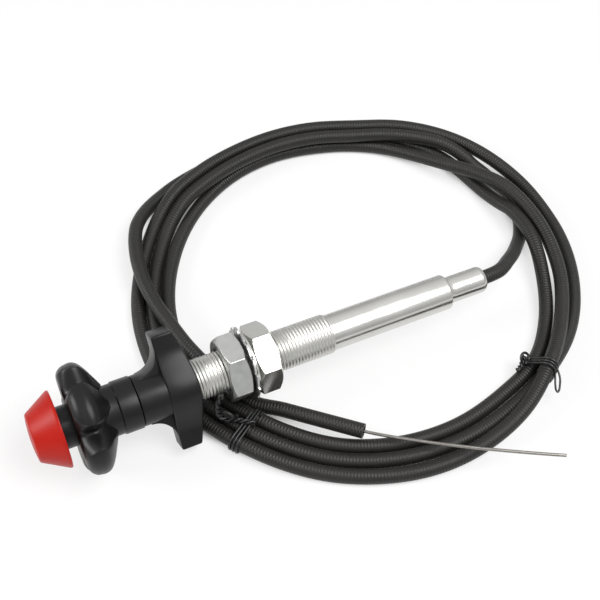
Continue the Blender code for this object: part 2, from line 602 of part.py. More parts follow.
# Lead: from the ferrule's grip, bending down under the turns to the coil.
mouth = np.array([GRIP_X, 0.0, AXIS_Z])
knots = [mouth, mouth + [FERRULE_GRIP * 0.5, 0, 0], mouth + [FERRULE_GRIP + 1.0, 0, 0]]
knots += [np.array(p) for p in LEAD]
lead_end = coil_start - start_dir * GAP
knots += straighten(lead_end, start_dir, 2 * CONDUIT_R)
knots = np.array(knots)
chord = np.concatenate([[0.0], np.cumsum(np.linalg.norm(np.diff(knots, axis=0), axis=1))])
lead_line = bend_through(chord, knots, np.linspace(0, chord[-1], 16))
lead_line[:, 2] = np.maximum(lead_line[:, 2], CONDUIT_R + REST)
lead_line = [mouth, mouth + [FERRULE_GRIP, 0, 0]] + [
    c for c in lead_line if c[0] > FERRULE_REAR + 3.0][:-1]
lead_line += straighten(lead_end, start_dir, 2 * CONDUIT_R)[1:]
tube("conduit_lead", [c * MM for c in lead_line], CONDUIT_R, (BLACK, 0.5, 0.0), 3)
fine_lead = bend_through(chord, knots, np.linspace(0, chord[-1], 120))
fine_lead[:, 2] = np.maximum(fine_lead[:, 2], CONDUIT_R + REST)
near = np.linalg.norm(fine_lead[:, None, :] - fine[None, 40:, :], axis=2)
print("conduit lead, least gap to the coil, mm:", round(float(near.min()) - 2 * CONDUIT_R, 3))

# Tail: the conduit's straight end, cut square, with the wire's bore.
tail_b = tail_a + tail_dir * (GAP + TAIL_LONG)
tail = tube("conduit_tail", [(tail_a + tail_dir * (GAP + TAIL_LONG * k / 4)) * MM
                             for k in range(5)], CONDUIT_R, (BLACK, 0.5, 0.0), 3)
bore_deep = STROKE + WIRE_IN + 1.0
tail.data.use_fill_caps = True
mesh = bpy.data.meshes.new_from_object(tail)
bpy.data.objects.remove(tail, do_unlink=True)
tail = place("conduit_tail", mesh, None)
drill = bpy.data.curves.new("tail_bore", "CURVE")
drill.dimensions = "3D"
drill.bevel_depth = (WIRE_R + 0.5) * MM
drill.bevel_resolution = 2
drill.use_fill_caps = True
sp = drill.splines.new("POLY")
sp.points.add(1)
for p, s in zip(sp.points, (-bore_deep, 2.0)):
    c = (tail_b + tail_dir * s) * MM
    p.co = (c[0], c[1], c[2], 1.0)
holder = bpy.data.objects.new("tail_bore", drill)
bpy.context.scene.collection.objects.link(holder)
cut(tail, bpy.data.meshes.new_from_object(holder), "DIFFERENCE")
bpy.data.objects.remove(holder, do_unlink=True)

# Bare core wire: stiff and straight, reaching back into the tail's bore.
wire_a = tail_b - tail_dir * WIRE_IN
wire_b = tail_b + tail_dir * WIRE_OUT
tube("core_wire_tail", [wire_a * MM, (wire_a + wire_b) / 2 * MM, wire_b * MM], WIRE_R,
     (STEEL, 0.3, 1.0), 2)
near = np.linalg.norm(np.linspace(tail_b, wire_b, 60)[:, None, :] - fine[None], axis=2)
print("bare wire, least gap to the coil, mm:", round(float(near.min()) - CONDUIT_R - WIRE_R, 3))


# Ties: wire closed round the turns that lie together, at two places.
def tie(name, deg, around):
    """Closed loop of tie wire round the named turns, met inner one first."""
    a = radians(deg)
    out_dir = np.array([cos(a), sin(a), 0.0])
    foot = np.array([RING_X, RING_Y, 0.0])
    held = []
    for n in around:
        at = (deg + 360.0 * (n - 1) - first) / (last - first) * count
        k = int(at)
        held.append(line[k] + (line[k + 1] - line[k]) * (at - k))
    flat = [(float((h - foot) @ out_dir), float(h[2])) for h in held]
    reach = CONDUIT_R + TIE_R + GAP
    loop = []
    for k, (u, v) in enumerate(flat):
        before = flat[k - 1]
        after = flat[(k + 1) % len(flat)]
        begin = atan2(v - before[1], u - before[0]) - pi / 2
        swing = (atan2(after[1] - v, after[0] - u) - pi / 2 - begin) % (2 * pi)
        for j in range(5):
            t = begin + swing * j / 4
            loop.append(foot + out_dir * (u + reach * cos(t))
                        + np.array([0, 0, v + reach * sin(t)]))
    tube(name, [c * MM for c in loop], TIE_R, (BLACK, 0.45, 0.0), 1, closed=True)


tie("tie_right", 303.0, (3, 1, 2))
tie("tie_left", 215.0, (3, 2))
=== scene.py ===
from math import atan2, ceil, cos, pi, radians, sin, tan
import bmesh
import bpy
import numpy as np
from mathutils import Matrix, Vector


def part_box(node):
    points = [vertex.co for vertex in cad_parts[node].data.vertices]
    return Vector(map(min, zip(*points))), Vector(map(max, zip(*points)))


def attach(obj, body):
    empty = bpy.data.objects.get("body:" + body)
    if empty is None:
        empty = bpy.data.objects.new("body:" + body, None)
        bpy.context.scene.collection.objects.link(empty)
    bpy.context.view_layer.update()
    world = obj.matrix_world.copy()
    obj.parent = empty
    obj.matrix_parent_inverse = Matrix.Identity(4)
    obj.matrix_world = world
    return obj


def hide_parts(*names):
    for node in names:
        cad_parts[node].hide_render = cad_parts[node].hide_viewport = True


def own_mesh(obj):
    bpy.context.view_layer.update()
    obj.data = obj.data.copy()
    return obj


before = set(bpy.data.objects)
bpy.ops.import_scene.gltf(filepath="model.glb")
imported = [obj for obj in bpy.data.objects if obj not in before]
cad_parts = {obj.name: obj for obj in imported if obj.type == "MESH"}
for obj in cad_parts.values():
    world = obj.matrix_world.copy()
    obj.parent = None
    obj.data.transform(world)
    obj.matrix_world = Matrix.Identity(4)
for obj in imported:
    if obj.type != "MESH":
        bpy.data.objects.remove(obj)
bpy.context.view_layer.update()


# Bulkhead tube: a turned steel sleeve, bright chromed, with an M18 x 1.5 thread on its
# front half and a plain rear half. The lock nut, the two hex nuts and the ferrule all
# hang on it, and the panel that carries the control is clamped on its thread.
MM = 0.001
tube_low, tube_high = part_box("bulkhead_tube")
AXIS = (tube_low[2] + tube_high[2]) / 2 / MM
TUBE_FRONT = tube_low[0] / MM
TUBE_REAR = tube_high[0] / MM
CREST = 9.0
PITCH = 1.5
ROOT = CREST - 0.45
THREAD_END = 26.9
PLAIN = 8.15
BORE = 7.0
FRONT_LIP = 0.9
REAR_ROUND = 0.9
AROUND = 64
RINGS_PER_PITCH = 8


def hex_colour(code):
    """sRGB hex, as read off a screen, to linear RGBA."""
    parts = [int(code[k:k + 2], 16) / 255 for k in (1, 3, 5)]
    return (*[c / 12.92 if c <= 0.04045 else ((c + 0.055) / 1.055) ** 2.4 for c in parts], 1.0)


def add_node(tree, kind, sockets, **settings):
    """Add a node, set it, and fill its sockets with values or links."""
    made = tree.nodes.new(kind)
    for key, value in settings.items():
        setattr(made, key, value)
    for key, value in sockets.items():
        if isinstance(value, bpy.types.NodeSocket):
            tree.links.new(value, made.inputs[key])
        else:
            made.inputs[key].default_value = value
    return made


def start_material(name):
    """A material with its tree and its Principled shader."""
    made = bpy.data.materials.new(name)
    made.use_nodes = True
    return made, made.node_tree, made.node_tree.nodes["Principled BSDF"]


# Bright chrome over turned steel: a mirror that is softened a little by the rings the tool
# left, 0.6 mm apart, which stretch each highlight along the tube, and by clouds about 18 mm
# wide in the plating. Over the rolled thread it is duller.
def chrome_finish(name, clear, hazy):
    """Chrome plating whose haze drifts between two roughnesses."""
    made, tree, shade = start_material(name)
    where = add_node(tree, "ShaderNodeTexCoord", {})
    lathe_lines = add_node(tree, "ShaderNodeMapping", {"Vector": where.outputs["Object"],
                                                       "Scale": (1 / 0.0006, 40.0, 40.0)})
    rings = add_node(tree, "ShaderNodeTexNoise", {"Vector": lathe_lines.outputs[0], "Scale": 1.0,
                                                  "Detail": 3.0})
    cloud = add_node(tree, "ShaderNodeTexNoise", {"Vector": where.outputs["Object"],
                                                  "Scale": 1 / 0.018, "Detail": 4.0})
    haze = add_node(tree, "ShaderNodeMapRange", {"Value": cloud.outputs["Fac"], "From Min": 0.3,
                                                 "From Max": 0.7, "To Min": clear, "To Max": hazy})
    tint = add_node(tree, "ShaderNodeMix", {"Factor": cloud.outputs["Fac"],
                                            "A": hex_colour("#c6c5c1"),
                                            "B": hex_colour("#d9d8d4")}, data_type="RGBA")
    fine = add_node(tree, "ShaderNodeBump", {"Height": rings.outputs["Fac"], "Strength": 0.05,
                                             "Distance": 0.0001})
    shade.inputs["Metallic"].default_value = 1.0
    tree.links.new(tint.outputs[2], shade.inputs["Base Color"])
    tree.links.new(haze.outputs[0], shade.inputs["Roughness"])
    tree.links.new(fine.outputs[0], shade.inputs["Normal"])
    return made


chrome = chrome_finish("bright_chrome_on_turned_steel", 0.18, 0.26)
thread_chrome = chrome_finish("dulled_chrome_on_rolled_thread", 0.36, 0.44)


def show(name, mesh, material, body, slot, *nodes):
    """Put a mesh in the scene as a piece that rides on a body and stands for CAD nodes."""
    piece = bpy.data.objects.new(name, mesh)
    bpy.context.scene.collection.objects.link(piece)
    if material is not None:
        mesh.materials.clear()
        mesh.materials.append(material)
    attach(piece, body)
    if nodes:
        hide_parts(*nodes)
    return piece


def to_mesh(name, shape, crease=35.0):
    """Close up a bmesh, face it outwards and shade it smooth between creases."""
    bmesh.ops.remove_doubles(shape, verts=shape.verts, dist=1e-7)
    bmesh.ops.recalc_face_normals(shape, faces=shape.faces)
    mesh = bpy.data.meshes.new(name)
    shape.to_mesh(mesh)
    shape.free()
    mesh.shade_smooth()
    mesh.set_sharp_from_angle(angle=radians(crease))
    return mesh


def round_at(x, r, angle):
    """Point at radius r about the head's axis, at an angle from +Y towards +Z."""
    return Vector((x * MM, r * cos(angle) * MM, (AXIS + r * sin(angle)) * MM))


def skin(shape, loops, closed=False):
    """Faces between loops of equal length, each loop closed on itself."""
    pairs = list(zip(loops, loops[1:]))
    if closed:
        pairs.append((loops[-1], loops[0]))
    for a, b in pairs:
        for k in range(len(a)):
            n = (k + 1) % len(a)
            shape.faces.new((a[k], a[n], b[n], b[k]))


def thread_radius(x, angle):
    """Radius of the rolled thread, its crests and roots rounded and filled by the plating."""
    return ROOT + (CREST - ROOT) * (0.5 + 0.5 * cos(2 * pi * x / PITCH - angle))


shape = bmesh.new()
loops = []
steps = int(ceil((THREAD_END - TUBE_FRONT) / PITCH * RINGS_PER_PITCH))
for k in range(steps + 1):
    x = TUBE_FRONT + (THREAD_END - TUBE_FRONT) * k / steps
    lead_in = BORE + FRONT_LIP + (x - TUBE_FRONT)
    run_out = PLAIN + (THREAD_END - x) * 1.2
    loop = []
    for j in range(AROUND):
        a = 2 * pi * j / AROUND
        r = min(thread_radius(x, a), lead_in, max(run_out, ROOT))
        loop.append(shape.verts.new(round_at(x, r, a)))
    loops.append(loop)
plain = [(THREAD_END + 0.05, PLAIN), (THREAD_END + 4.0, PLAIN), (60.0, PLAIN)]
for k in range(7):
    a = pi / 2 * k / 6
    plain.append((TUBE_REAR - REAR_ROUND + REAR_ROUND * sin(a),
                  PLAIN - REAR_ROUND + REAR_ROUND * cos(a)))
plain += [(TUBE_REAR, BORE), (TUBE_FRONT, BORE)]
for x, r in plain:
    loops.append([shape.verts.new(round_at(x, r, 2 * pi * j / AROUND)) for j in range(AROUND)])
skin(shape, loops, closed=True)
tube_mesh = to_mesh("threaded_bulkhead_tube", shape, 50)
show("threaded_bulkhead_tube", tube_mesh, chrome, "frame", "tube_chrome", "bulkhead_tube")
tube_mesh.materials.append(thread_chrome)
for face in tube_mesh.polygons:
    face.material_index = 1 if face.center.x < THREAD_END * MM else 0


# End ferrule: a thin chromed sleeve swaged down from the tube onto the conduit. Its spigot
# is pressed in the tube's bore, and its rolled mouth grips the conduit's first stretch.
FERRULE = 6.15
FERRULE_REAR = 105.6
SPIGOT = 10.0
GRIP = 12.0
CONDUIT = 3.2
WIRE = 0.7


def filleted(corners, steps=4):
    """Round the corners (x, radius, fillet) of a turned section."""
    points = []
    for k, (x, r, f) in enumerate(corners):
        here = Vector((x, r))
        if f <= 0:
            points.append((x, r))
            continue
        back = (Vector(corners[k - 1][:2]) - here).normalized()
        on = (Vector(corners[(k + 1) % len(corners)][:2]) - here).normalized()
        for j in range(steps + 1):
            t = j / steps
            p = (here + back * f) * (1 - t) ** 2 + here * 2 * t * (1 - t) + (here + on * f) * t ** 2
            points.append((p.x, p.y))
    return points


def turned(name, section, crease=35.0, steps=96):
    """Spin a closed section of (x, radius) about the head's axis."""
    shape = bmesh.new()
    dots = [shape.verts.new((x * MM, 0, (AXIS + r) * MM)) for x, r in section]
    edges = []
    for k in range(len(dots)):
        n = (k + 1) % len(dots)
        if section[k][1] > 0 or section[n][1] > 0:
            edges.append(shape.edges.new((dots[k], dots[n])))
    bmesh.ops.spin(shape, geom=dots + edges, cent=(0, 0, AXIS * MM), axis=(1, 0, 0),
                   angle=2 * pi, steps=steps, use_merge=True)
    return to_mesh(name, shape, crease)


show("swaged_end_ferrule", turned("swaged_end_ferrule", filleted([
    (TUBE_REAR - SPIGOT, BORE - 0.3, 0), (TUBE_REAR + 0.3, BORE - 0.3, 0),
    (TUBE_REAR + 0.3, FERRULE + 0.35, 0.2), (TUBE_REAR + 2.0, FERRULE, 0.8),
    (FERRULE_REAR - 1.6, FERRULE, 0.6), (FERRULE_REAR, FERRULE - 0.7, 0.5),
    (FERRULE_REAR, CONDUIT + 0.25, 0.2), (FERRULE_REAR - GRIP - 0.3, CONDUIT + 0.25, 0),
    (FERRULE_REAR - GRIP - 0.3, WIRE + 0.5, 0), (TUBE_REAR - SPIGOT, WIRE + 0.5, 0)])),
    chrome, "frame", "ferrule_chrome", "end_ferrule")


# Front hex nut: a pressed steel M18 jam nut, dull zinc plated, that stays on the thread in
# front of the panel. Its corners are chamfered at both ends.
NUT_FLAT = 13.5
NUT_FACE = 13.0
NUT_BORE = CREST + 0.3
NUT_CHAMFER = radians(30)
BORE_CHAMFER = 0.8
NUT_STEPS = 120


def from_viewer(degrees):
    """Angle from +Y for one counted from the viewer's side upwards."""
    return pi - radians(degrees)


# Dull zinc: grey plated steel with a cloudy bloom, 4 mm across, faint marks along the axis,
# a soft sheen and no clear reflection.
zinc, tree, shade = start_material("dull_zinc_on_pressed_steel")
where = add_node(tree, "ShaderNodeTexCoord", {})
bloom = add_node(tree, "ShaderNodeTexNoise", {"Vector": where.outputs["Object"],
                                              "Scale": 1 / 0.004, "Detail": 6.0,
                                              "Roughness": 0.65})
drawn = add_node(tree, "ShaderNodeMapping", {"Vector": where.outputs["Object"],
                                             "Scale": (60.0, 900.0, 900.0)})
draw_marks = add_node(tree, "ShaderNodeTexNoise", {"Vector": drawn.outputs[0], "Scale": 1.0,
                                                   "Detail": 2.0})
grey = add_node(tree, "ShaderNodeMix", {"Factor": bloom.outputs["Fac"], "A": hex_colour("#b4b5b2"),
                                        "B": hex_colour("#cccdca")}, data_type="RGBA")
dull = add_node(tree, "ShaderNodeMapRange", {"Value": bloom.outputs["Fac"], "From Min": 0.3,
                                             "From Max": 0.7, "To Min": 0.3, "To Max": 0.44})
scuff = add_node(tree, "ShaderNodeBump", {"Height": draw_marks.outputs["Fac"], "Strength": 0.12,
                                          "Distance": 0.0001})
shade.inputs["Metallic"].default_value = 1.0
tree.links.new(grey.outputs[2], shade.inputs["Base Color"])
tree.links.new(dull.outputs[0], shade.inputs["Roughness"])
tree.links.new(scuff.outputs[0], shade.inputs["Normal"])


def hex_nut(name, x0, x1, turn, collar):
    """Hex nut by rings: the chamfer cone meets each flat in a curve, as on a real nut."""
    shape = bmesh.new()
    inner_edge = NUT_BORE + BORE_CHAMFER
    loops = [[] for _ in range(8)]
    step = []
    for k in range(NUT_STEPS):
        a = 2 * pi * k / NUT_STEPS
        reach = NUT_FLAT / cos(a % (pi / 3) - pi / 6)
        drop = (reach - NUT_FACE) * tan(NUT_CHAMFER)
        spot = from_viewer(turn) - a
        front = x0 + collar
        rings = ((x0 + BORE_CHAMFER, NUT_BORE), (x0, inner_edge), (x0, NUT_FACE),
                 (front + drop, reach), (x1 - drop, reach),
                 (x1, NUT_FACE), (x1, inner_edge), (x1 - BORE_CHAMFER, NUT_BORE))
        for loop, (x, r) in zip(loops, rings):
            loop.append(shape.verts.new(round_at(x, r, spot)))
        if collar > 0:
            step.append(shape.verts.new(round_at(front, NUT_FACE, spot)))
    if step:
        loops.insert(3, step)
    skin(shape, loops, closed=True)
    return to_mesh(name, shape, 20)


def soften(piece, width, limit=25.0):
    """Break the sharp edges of a piece by a small bevel."""
    mod = piece.modifiers.new("broken_edges", "BEVEL")
    mod.width = width * MM
    mod.segments = 2
    mod.limit_method = "ANGLE"
    mod.angle_limit = radians(limit)
    mod.harden_normals = True
    return piece


low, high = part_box("front_hex_nut")
front_nut = hex_nut("front_jam_nut", low[0] / MM, high[0] / MM, turn=64.5, collar=0.0)
soften(show("front_jam_nut", front_nut, zinc, "frame", "nut_zinc", "front_hex_nut"), 0.3)


# Lock washer: a thin spring-steel ring with twisted teeth round its rim that bite the panel
# and the nut. It sits between the two nuts until a panel is clamped there.
low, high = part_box("lock_washer")
WASHER_MID = (low[0] + high[0]) / 2 / MM
WASHER_HALF = 0.45
WASHER_BORE = 9.7
WASHER_BODY = 12.8
TOOTH_ROOT = 14.7
TOOTH_TIP = 16.2
TEETH = 14
STEPS_PER_TOOTH = 8
TOOTH_SHARE = 0.8
TOOTH_TWIST = 0.6
shape = bmesh.new()
inner = []
mid = []
outer = []
for k in range(TEETH * STEPS_PER_TOOTH):
    a = 2 * pi * k / (TEETH * STEPS_PER_TOOTH)
    share = (k % STEPS_PER_TOOTH) / STEPS_PER_TOOTH
    spot = from_viewer(90.0) - a
    inner.append((WASHER_BORE, 0.0, spot))
    mid.append((WASHER_BODY, 0.0, spot))
    if share < TOOTH_SHARE:
        outer.append((TOOTH_TIP, (share - 0.35) * TOOTH_TWIST, spot))
    else:
        outer.append((TOOTH_ROOT, 0.0, spot))
sides = []
for face_x in (WASHER_MID - WASHER_HALF, WASHER_MID + WASHER_HALF):
    for ring in (inner, mid, outer):
        sides.append([shape.verts.new(round_at(face_x + bent, r, spot))
                      for r, bent, spot in ring])
skin(shape, [sides[2], sides[1], sides[0], sides[3], sides[4], sides[5]], closed=True)
soften(show("toothed_lock_washer", to_mesh("toothed_lock_washer", shape, 30), zinc, "frame",
            "washer_zinc", "lock_washer"), 0.12)


# Rear hex nut: the bright chromed M18 nut that pulls the panel tight, with a raised washer
# face on its front.
low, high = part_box("rear_hex_nut")
rear_nut = hex_nut("rear_clamp_nut", low[0] / MM, high[0] / MM, turn=90.0, collar=0.9)
soften(show("rear_clamp_nut", rear_nut, chrome, "rear_nut", "nut_chrome", "rear_hex_nut"), 0.22)


# Winged lock nut: glass-filled nylon, moulded in one piece. A two-armed wing with a crowned
# back crosses the rear of its hub, and a flared web runs up to each arm. It screws on the
# tube's end and closes the collet.
low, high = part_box("wing_lock_nut")
HUB_FRONT = low[0] / MM
WING_REAR = high[0] / MM
WING_FRONT = TUBE_FRONT - 3.8
TIP = 25.75
TIP_LONG = 8.8
WING_WIDE = 11.0
WAIST = 23.2
SWELL_REACH = 0.74
WING_EDGE = 0.75
FLARE = 9.5
WEB_EDGE = 0.6
HUB = 11.0
SHAFT_HOLE = 5.6
COLLET_LONG = 4.5
WING_TURN = radians(128.5)

# Moulded black nylon: near black with a satin face, faint flow marks in the gloss and a fine
# spark-eroded grain, drawn at 0.5 mm so that it shows.
nylon, tree, shade = start_material("moulded_black_nylon")
where = add_node(tree, "ShaderNodeTexCoord", {})
grain = add_node(tree, "ShaderNodeTexNoise", {"Vector": where.outputs["Object"],
                                              "Scale": 1 / 0.0005, "Detail": 2.0})
flow = add_node(tree, "ShaderNodeTexNoise", {"Vector": where.outputs["Object"],
                                             "Scale": 1 / 0.012, "Detail": 5.0})
black = add_node(tree, "ShaderNodeMix", {"Factor": flow.outputs["Fac"], "A": hex_colour("#0d0d0e"),
                                         "B": hex_colour("#171718")}, data_type="RGBA")
satin = add_node(tree, "ShaderNodeMapRange", {"Value": flow.outputs["Fac"], "From Min": 0.3,
                                              "From Max": 0.7, "To Min": 0.3, "To Max": 0.39})
pores = add_node(tree, "ShaderNodeBump", {"Height": grain.outputs["Fac"], "Strength": 0.12,
                                          "Distance": 0.0001})
shade.inputs["Specular IOR Level"].default_value = 0.27
tree.links.new(black.outputs[2], shade.inputs["Base Color"])
tree.links.new(satin.outputs[0], shade.inputs["Roughness"])
tree.links.new(pores.outputs[0], shade.inputs["Normal"])


def cut_mesh(name, base, changes, crease=35.0):
    """Add or take away meshes with exact Booleans, and give the mesh that comes out."""
    scene = bpy.context.scene.collection
    body = bpy.data.objects.new(name + "_blank", base)
    scene.objects.link(body)
    tools = []
    for how, mesh in changes:
        tool = bpy.data.objects.new(name + "_tool", mesh)
        scene.objects.link(tool)
        mod = body.modifiers.new(how, "BOOLEAN")
        mod.operation = how
        mod.solver = "EXACT"
        mod.object = tool
        tools.append(tool)
    bpy.context.view_layer.update()
    worked = body.evaluated_get(bpy.context.evaluated_depsgraph_get())
    made = bpy.data.meshes.new_from_object(worked)
    for ob in [body] + tools:
        bpy.data.objects.remove(ob, do_unlink=True)
    made.name = name
    made.shade_smooth()
    made.set_sharp_from_angle(angle=radians(crease))
    return made


along = Vector((0, -cos(WING_TURN), sin(WING_TURN)))
beside = Vector((0, sin(WING_TURN), cos(WING_TURN)))


def wing_point(u, v, x):
    """A place on the wing: out along an arm, across it, and on the axis."""
    return (Vector((x, 0, AXIS)) + along * u + beside * v) * MM


shape = bmesh.new()
bars = []
for k in range(-24, 25):
    u = TIP * k / 24
    swell = 0.5 + 0.5 * cos(pi * min(abs(u) / (TIP * SWELL_REACH), 1.0))
    wide = (WING_WIDE + (WAIST - WING_WIDE) * swell) / 2
    back = WING_FRONT + TIP_LONG + (WING_REAR - WING_FRONT - TIP_LONG) * (1 - (k / 24) ** 2)
    bars.append([shape.verts.new(wing_point(u, v, x)) for v, x in (
        (-wide, WING_FRONT), (wide, WING_FRONT), (wide, back), (-wide, back))])
skin(shape, bars)
shape.faces.new(bars[0])
shape.faces.new(bars[-1])
bmesh.ops.recalc_face_normals(shape, faces=shape.faces)
rims = [e for e in shape.edges if e.calc_face_angle() > radians(50)]
bmesh.ops.bevel(shape, geom=rims, offset=WING_EDGE * MM, segments=3, profile=0.5, affect="EDGES")
wing = to_mesh("wing", shape)
web = []
for side in (1, -1):
    root = HUB - 0.6
    bend = [(side * (root + FLARE), WING_FRONT + 1.5)]
    for k in range(13):
        a = pi / 2 * k / 12
        bend.append((side * (root + FLARE * (1 - sin(a))), WING_FRONT - FLARE * (1 - cos(a))))
    web += bend if side == 1 else bend[::-1]
shape = bmesh.new()
half = WING_WIDE / 2 - 0.4
outline = shape.faces.new([shape.verts.new(wing_point(u, -half, x)) for u, x in web])
out = bmesh.ops.extrude_face_region(shape, geom=[outline])
far = [v for v in out["geom"] if isinstance(v, bmesh.types.BMVert)]
bmesh.ops.translate(shape, verts=far, vec=beside * half * 2 * MM)
rims = [e for e in shape.edges if e.calc_face_angle() > radians(60)]
bmesh.ops.bevel(shape, geom=rims, offset=WEB_EDGE * MM, segments=3, profile=0.5, affect="EDGES")
webs = to_mesh("webs", shape)
hub = turned("lock_hub", filleted([
    (HUB_FRONT, 0, 0), (HUB_FRONT, HUB, 0.5),
    (WING_FRONT + 2.0, HUB, 0), (WING_FRONT + 2.0, 0, 0)]))
seat = TUBE_FRONT - 0.3
lock_bore = turned("lock_bore", [
    (HUB_FRONT - 1, 0), (HUB_FRONT - 1, SHAFT_HOLE), (HUB_FRONT, SHAFT_HOLE),
    (seat - COLLET_LONG, SHAFT_HOLE - 0.25), (seat - COLLET_LONG, BORE - 1.0),
    (seat, BORE + 0.3), (seat, CREST + 0.3), (WING_REAR - 0.6, CREST + 0.3),
    (WING_REAR + 1, CREST + 1.4), (WING_REAR + 1, 0)])
show("winged_lock_nut", cut_mesh("winged_lock_nut", hub, [
    ("UNION", wing), ("UNION", webs), ("DIFFERENCE", lock_bore)]), nylon, "lock", "knob_black",
    "wing_lock_nut")


# Star knob: the same black nylon, moulded on a brass insert. Five lobes with oval ends and
# hollows for the fingers between them, a neck in front that guides the button, and a stepped
# hub against the lock nut.
low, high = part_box("star_knob")
BOSS_FRONT = low[0] / MM
KNOB_SEAM = high[0] / MM
STAR_FRONT = -88.7
LOBE = 24.2
HOLLOW = 7.6
STAR_TURN = 73.5
CAP_HALF = 9.7
CAP_LONG = 8.0
CAP_MID = 7.2
NECK = 9.0
COLLAR = 10.9
REAR_COLLAR = 11.4
REAR_STEP = -69.2
SPRING_POCKET = 6.2
POCKET_DEEP = 9.6
STEM_HOLE = 2.3
INSERT_HOLE = 7.15
INSERT_FRONT = -83.3
# Side view over a lobe: behind the front, and below the tip.
CROWN = [(0.0, 4.0), (0.25, 3.1), (0.7, 2.3), (2.4, 0.8), (4.7, 0.15), (6.9, 0.0), (9.4, 1.2),
         (11.7, 4.3), (13.9, 8.5), (15.9, 12.3)]


def bend_through(knots, values, at):
    """Smooth curve through values at uneven knots."""
    knots = np.asarray(knots, float)
    values = np.asarray(values, float).reshape(len(knots), -1)
    step = np.diff(knots)[:, None]
    slope = np.diff(values, axis=0) / step
    rate = np.vstack([slope[:1], (slope[:-1] * step[1:] + slope[1:] * step[:-1])
                      / (step[1:] + step[:-1]), slope[-1:]])
    k = np.clip(np.searchsorted(knots, at, side="right") - 1, 0, len(step) - 1)
    h = step[k]
    u = (np.asarray(at)[:, None] - knots[k][:, None]) / h
    return ((2 * u ** 3 - 3 * u ** 2 + 1) * values[k] + (u ** 3 - 2 * u ** 2 + u) * h * rate[k]
            + (3 * u ** 2 - 2 * u ** 3) * values[k + 1] + (u ** 3 - u ** 2) * h * rate[k + 1])


def lobe_reach(arc, x, crown):
    """Radius of the star at an arc from a lobe's middle: the oval end, then the hollow's wall."""
    far = ((x - CAP_MID) / CAP_LONG) ** 2
    here = ((arc / CAP_HALF) ** 2 + far) ** 0.5
    if here <= 1.0:
        return crown - 0.5 * (arc / CAP_HALF) ** 2
    edge = max(1.0 - far, 0.0)
    middle = ((LOBE * pi / 5 / CAP_HALF) ** 2 + far) ** 0.5
    start = max(far ** 0.5, 1.0)
    share = min((here - start) / (middle - start), 1.0)
    return crown - 0.5 * edge - HOLLOW * sin(pi / 2 * share)


shape = bmesh.new()
loops = []
behind = np.concatenate([np.linspace(0.0, 1.2, 7), np.linspace(1.6, 15.0, 36),
                         [15.3, 15.6, 15.9]])
crowns = LOBE - bend_through([c[0] for c in CROWN], [c[1] for c in CROWN], behind)[:, 0]
half_pitch = LOBE * pi / 5
for x, crown in zip(behind, crowns):
    edge = CAP_HALF * max(1.0 - ((x - CAP_MID) / CAP_LONG) ** 2, 0.012) ** 0.5
    arcs = [edge * k / 6 for k in range(6)]
    arcs += [edge + d for d in (-0.12, 0.12, 0.36)]
    arcs += [edge + 0.36 + (half_pitch - edge - 0.36) * k / 10 for k in range(1, 11)]
    arcs = sorted(arcs)
    loop = []
    for lobe in range(5):
        for arc in [-c for c in arcs[:0:-1]][1:] + arcs:
            nearby = [lobe_reach(abs(arc + d), x, crown) for d in (-0.3, -0.15, 0.0, 0.15, 0.3)]
            r = max(sum(nearby) / 5, COLLAR - 0.6)
            turn = from_viewer(STAR_TURN + 72.0 * lobe) - arc / LOBE
            loop.append(shape.verts.new(round_at(STAR_FRONT + x, r, turn)))
    loops.append(loop)
skin(shape, loops)
shape.faces.new(loops[0])
shape.faces.new(loops[-1])
star = to_mesh("star", shape, 60)
knob_hub = turned("knob_hub", filleted([
    (BOSS_FRONT, 0, 0), (BOSS_FRONT, NECK, 0.5), (STAR_FRONT + 1.5, NECK, 0),
    (STAR_FRONT + 1.5, COLLAR, 0), (REAR_STEP - 0.4, COLLAR, 0.15), (REAR_STEP, REAR_COLLAR, 0.3),
    (KNOB_SEAM, REAR_COLLAR, 0.4), (KNOB_SEAM, 0, 0)]))
pocket_end = BOSS_FRONT + POCKET_DEEP
knob_bore = turned("knob_bore", [
    (BOSS_FRONT - 1, 0), (BOSS_FRONT - 1, SPRING_POCKET), (pocket_end, SPRING_POCKET),
    (pocket_end, STEM_HOLE), (INSERT_FRONT, STEM_HOLE), (INSERT_FRONT, INSERT_HOLE),
    (KNOB_SEAM + 1, INSERT_HOLE), (KNOB_SEAM + 1, 0)])
show("five_lobed_star_knob", cut_mesh("five_lobed_star_knob", star,
     [("UNION", knob_hub), ("DIFFERENCE", knob_bore)]), nylon, "knob", "knob_black", "star_knob")


# Release button: a red moulded cup, a cut-off cone with a slightly domed face, hollow under
# its rim. It slides on the knob's neck against a spring, and its stem frees the shaft.
low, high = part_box("release_button")
BUTTON_FRONT = low[0] / MM
BUTTON_BASE = high[0] / MM
BUTTON_FACE = 10.2
BUTTON_RIM = 16.5
NECK_HOLE = 9.4

# Moulded red ABS: a full, slightly orange red with a soft gloss and a fine mould grain.
red_abs, tree, shade = start_material("moulded_red_abs")
where = add_node(tree, "ShaderNodeTexCoord", {})
flow = add_node(tree, "ShaderNodeTexNoise", {"Vector": where.outputs["Object"],
                                             "Scale": 1 / 0.008, "Detail": 4.0})
grain = add_node(tree, "ShaderNodeTexNoise", {"Vector": where.outputs["Object"],
                                              "Scale": 1 / 0.0006, "Detail": 2.0})
red = add_node(tree, "ShaderNodeMix", {"Factor": flow.outputs["Fac"], "A": hex_colour("#a5160c"),
                                       "B": hex_colour("#b71e11")}, data_type="RGBA")
gloss = add_node(tree, "ShaderNodeMapRange", {"Value": flow.outputs["Fac"], "From Min": 0.3,
                                              "From Max": 0.7, "To Min": 0.34, "To Max": 0.44})
pores = add_node(tree, "ShaderNodeBump", {"Height": grain.outputs["Fac"], "Strength": 0.06,
                                          "Distance": 0.0001})
